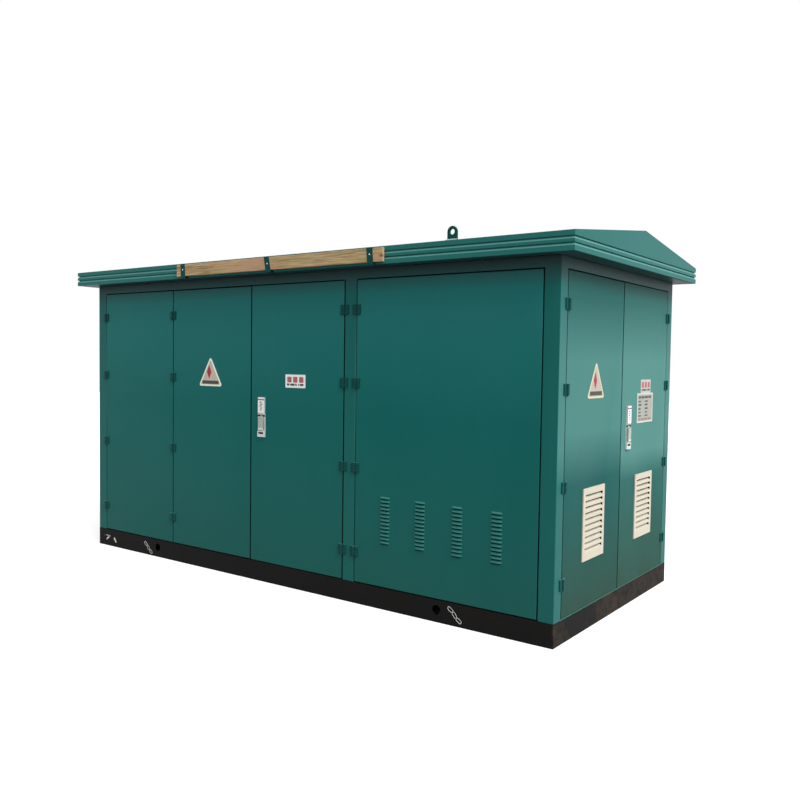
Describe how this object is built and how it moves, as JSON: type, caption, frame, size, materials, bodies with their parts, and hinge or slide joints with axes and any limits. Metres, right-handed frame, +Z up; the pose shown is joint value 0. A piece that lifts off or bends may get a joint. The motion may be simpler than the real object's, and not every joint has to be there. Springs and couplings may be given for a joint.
{
  "type": "compact substation",
  "caption": "Steel kiosk substation on a channel base, with hinged panel doors, louvre grilles and a low gable roof with a grooved fascia.",
  "frame": {"origin": "under the middle of the base, on the ground", "axes": "+X along the front to the right as seen from the front, +Y from the front to the rear, +Z up"},
  "size_m": [4.518, 2.166, 2.443],
  "materials": {
    "green_paint": "semi-gloss blue-green enamel",
    "black_paint": "matt black paint",
    "floor_steel": "grey painted plate",
    "timber": "sawn softwood",
    "handle_metal": "satin zinc alloy",
    "cream_paint": "cream moulded louvre"
  },
  "bodies": {
    "kiosk": {"base_side_channels": "black_paint", "base_end_channels": "black_paint", "base_cross_channels": "black_paint", "floor_plate": "floor_steel", "corner_posts": "green_paint", "middle_posts": "green_paint", "top_rails": "green_paint", "door_stops": "green_paint", "roof_soffit": "green_paint", "eaves_fascias": "green_paint", "end_fascias": "green_paint", "roof_front_slope": "green_paint", "roof_rear_slope": "green_paint", "gable_panels": "green_paint", "lifting_lugs": "green_paint", "timber_planks": "timber", "plank_clips": "green_paint", "fold_leaf_outer": "green_paint", "fold_leaf_inner": "green_paint", "rear_fold_leaf_outer": "green_paint", "rear_fold_leaf_inner": "green_paint", "rear_room_leaf": "green_paint", "rear_wide_leaf": "green_paint", "left_end_leaf_near": "green_paint", "left_end_leaf_far": "green_paint", "frame_hinge_halves": "green_paint", "fold_door_hinges": "green_paint", "rear_hinges": "green_paint", "left_end_hinges": "green_paint", "left_end_grilles": "cream_paint", "fixed_handles": "handle_metal"},
    "room_leaf": {"room_door": "green_paint", "room_door_hinges": "green_paint", "room_handle_plate": "handle_metal"},
    "wide_leaf": {"wide_door": "green_paint", "wide_door_hinges": "green_paint"},
    "near_leaf": {"end_door_near": "green_paint", "near_door_hinges": "green_paint", "near_door_grille": "cream_paint"},
    "far_leaf": {"end_door_far": "green_paint", "far_door_hinges": "green_paint", "far_door_grille": "cream_paint", "end_handle_plate": "handle_metal"},
    "room_boss": {"room_handle_boss": "handle_metal"},
    "room_lever": {"room_handle_lever": "handle_metal"},
    "end_boss": {"end_handle_boss": "handle_metal"},
    "end_lever": {"end_handle_lever": "handle_metal"}
  },
  "joints": [
    {"name": "room_door_swing", "type": "hinge", "parent": "kiosk", "child": "room_leaf", "pos_m": [0.5885, -0.949, 1.136], "axis": [0, 0, 1], "range_deg": [0, 90]},
    {"name": "wide_door_swing", "type": "hinge", "parent": "kiosk", "child": "wide_leaf", "pos_m": [0.6895, -0.949, 1.136], "axis": [0, 0, -1], "range_deg": [0, 90]},
    {"name": "near_door_swing", "type": "hinge", "parent": "kiosk", "child": "near_leaf", "pos_m": [2.139, -0.8445, 1.136], "axis": [0, 0, -1], "range_deg": [0, 110]},
    {"name": "far_door_swing", "type": "hinge", "parent": "kiosk", "child": "far_leaf", "pos_m": [2.139, 0.8445, 1.136], "axis": [0, 0, 1], "range_deg": [0, 110]},
    {"name": "room_handle_turn", "type": "hinge", "parent": "room_leaf", "child": "room_boss", "pos_m": [-0.171, -0.949, 1.184], "axis": [0, -1, 0], "range_deg": [0, 90]},
    {"name": "room_handle_lift", "type": "hinge", "parent": "room_boss", "child": "room_lever", "pos_m": [-0.171, -0.9535, 1.184], "axis": [-1, 0, 0], "range_deg": [0, 40]},
    {"name": "end_handle_turn", "type": "hinge", "parent": "far_leaf", "child": "end_boss", "pos_m": [2.139, 0.1125, 1.184], "axis": [1, 0, 0], "range_deg": [0, 90]},
    {"name": "end_handle_lift", "type": "hinge", "parent": "end_boss", "child": "end_lever", "pos_m": [2.1435, 0.1125, 1.184], "axis": [0, -1, 0], "range_deg": [0, 40]}
  ]
}
